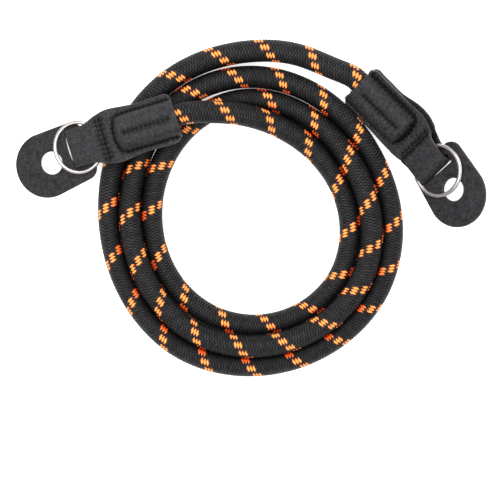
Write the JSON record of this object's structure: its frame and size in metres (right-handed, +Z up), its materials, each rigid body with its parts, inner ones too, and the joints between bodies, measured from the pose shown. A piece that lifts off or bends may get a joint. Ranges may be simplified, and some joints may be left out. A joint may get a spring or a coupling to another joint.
{
  "type": "rope camera strap",
  "caption": "Braided rope camera strap lying in a flat coil, with a sewn leather end, a split ring and a loose leather pad at each end.",
  "frame": {"origin": "on the ground, under the middle of the two leather ends", "axes": "+X to the right along the longest extent of the leather ends, +Z up off the ground, +Y away from the viewer as seen from above"},
  "size_m": [0.1915, 0.1372, 0.0255],
  "materials": {
    "braided_rope": "matt braid with an orange tracer",
    "black_leather": "matt grained",
    "steel": "bright nickel"
  },
  "bodies": {
    "root": {"rope": "braided_rope", "left_sleeve": "black_leather", "right_sleeve": "black_leather", "left_ring": "steel", "right_ring": "steel", "left_pad": "black_leather", "right_pad": "black_leather"}
  },
  "joints": []
}
